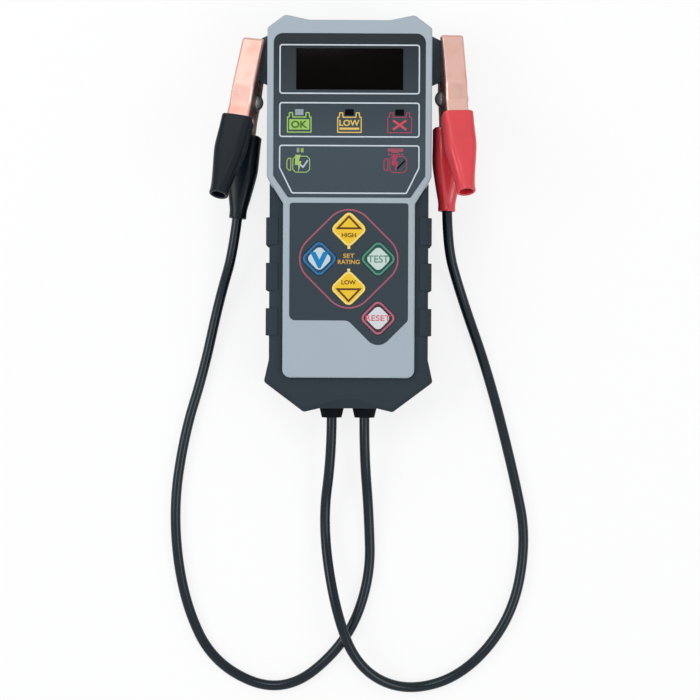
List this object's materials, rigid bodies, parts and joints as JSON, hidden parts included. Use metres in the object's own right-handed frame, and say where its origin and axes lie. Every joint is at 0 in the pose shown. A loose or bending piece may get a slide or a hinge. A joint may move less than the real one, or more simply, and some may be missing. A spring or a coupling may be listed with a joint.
{
  "type": "battery tester",
  "caption": "Handheld 12 V battery tester with a display window, lamps, diamond keys, a rubber grip and two leads whose spring clamps are parked on side lugs.",
  "frame": {"origin": "middle of the flat back face, on which the tester lies", "axes": "+Z out of the front face, +Y towards the head end with the display, +X to the right seen from the front"},
  "size_m": [0.1864, 0.3452, 0.0544],
  "materials": {
    "shell_grey": "satin",
    "shell_dark": "fine texture",
    "grip_rubber": "matte",
    "film_slate": "satin",
    "smoked_lens": "gloss",
    "module_black": "gloss",
    "board_green": "satin",
    "component_black": "matte",
    "resistor_white": "matte",
    "capacitor_blue": "gloss",
    "steel": "plated",
    "key_yellow": "satin",
    "key_blue": "satin",
    "key_green": "satin",
    "key_red": "satin",
    "lamp_green": "frosted",
    "lamp_yellow": "frosted",
    "lamp_red": "frosted",
    "copper_plate": "copper plated, satin",
    "cable_black": "satin",
    "vinyl_red": "soft vinyl, satin",
    "vinyl_black": "soft vinyl, satin"
  },
  "bodies": {
    "tester": {"board_screws": "steel", "case_screws": "steel", "controller_chip": "component_black", "crimp_black": "copper_plate", "crimp_red": "copper_plate", "display_film": "film_slate", "display_module": "module_black", "display_window": "smoked_lens", "filter_capacitor": "capacitor_blue", "front_cover": "shell_grey", "grip_sleeve": "grip_rubber", "inner_lead_black": "cable_black", "inner_lead_red": "cable_black", "keypad_film": "film_slate", "lamp_battery_bad": "lamp_red", "lamp_battery_good": "lamp_green", "lamp_battery_low": "lamp_yellow", "lamp_charge_bad": "lamp_red", "lamp_charge_good": "lamp_green", "lead_black": "cable_black", "lead_red": "cable_black", "lead_terminals": "component_black", "load_resistor": "resistor_white", "lower_boot_black": "vinyl_black", "lower_boot_red": "vinyl_red", "lower_jaw_black": "copper_plate", "lower_jaw_red": "copper_plate", "main_board": "board_green", "parking_lug_black": "shell_dark", "parking_lug_red": "shell_dark", "rear_cover": "shell_dark", "rivet_black": "steel", "rivet_red": "steel", "spring_black": "steel", "spring_red": "steel", "strain_relief_black": "grip_rubber", "strain_relief_red": "grip_rubber", "switch_bases": "component_black"},
    "high_key": {"key_high": "key_yellow", "plunger_high": "component_black"},
    "low_key": {"key_low": "key_yellow", "plunger_low": "component_black"},
    "volts_key": {"key_volts": "key_blue", "plunger_volts": "component_black"},
    "test_key": {"key_test": "key_green", "plunger_test": "component_black"},
    "reset_key": {"key_reset": "key_red", "plunger_reset": "component_black"},
    "upper_clamp_black": {"upper_jaw_black": "copper_plate", "upper_boot_black": "vinyl_black"},
    "upper_clamp_red": {"upper_jaw_red": "copper_plate", "upper_boot_red": "vinyl_red"}
  },
  "joints": [
    {"name": "press_high", "type": "slide", "parent": "tester", "child": "high_key", "axis": [0, 0, -1], "range_m": [0, 0.0005], "stiffness_N_per_m": 3000, "springref_m": -0.0004},
    {"name": "press_low", "type": "slide", "parent": "tester", "child": "low_key", "axis": [0, 0, -1], "range_m": [0, 0.0005], "stiffness_N_per_m": 3000, "springref_m": -0.0004},
    {"name": "press_volts", "type": "slide", "parent": "tester", "child": "volts_key", "axis": [0, 0, -1], "range_m": [0, 0.0005], "stiffness_N_per_m": 3000, "springref_m": -0.0004},
    {"name": "press_test", "type": "slide", "parent": "tester", "child": "test_key", "axis": [0, 0, -1], "range_m": [0, 0.0005], "stiffness_N_per_m": 3000, "springref_m": -0.0004},
    {"name": "press_reset", "type": "slide", "parent": "tester", "child": "reset_key", "axis": [0, 0, -1], "range_m": [0, 0.0005], "stiffness_N_per_m": 3000, "springref_m": -0.0004},
    {"name": "open_clamp_black", "type": "hinge", "parent": "tester", "child": "upper_clamp_black", "pos_m": [-0.0525, 0.0581, 0.021], "axis": [0.9816, -0.1205, 0.1478], "range_deg": [0, 25], "stiffness_Nm_per_rad": 1, "springref_deg": -40.11, "deforming": ["spring_black"]},
    {"name": "open_clamp_red", "type": "hinge", "parent": "tester", "child": "upper_clamp_red", "pos_m": [0.052, 0.06, 0.021], "axis": [0.9907, 0.0086, -0.1357], "range_deg": [0, 25], "stiffness_Nm_per_rad": 1, "springref_deg": -40.11, "deforming": ["spring_red"]}
  ]
}
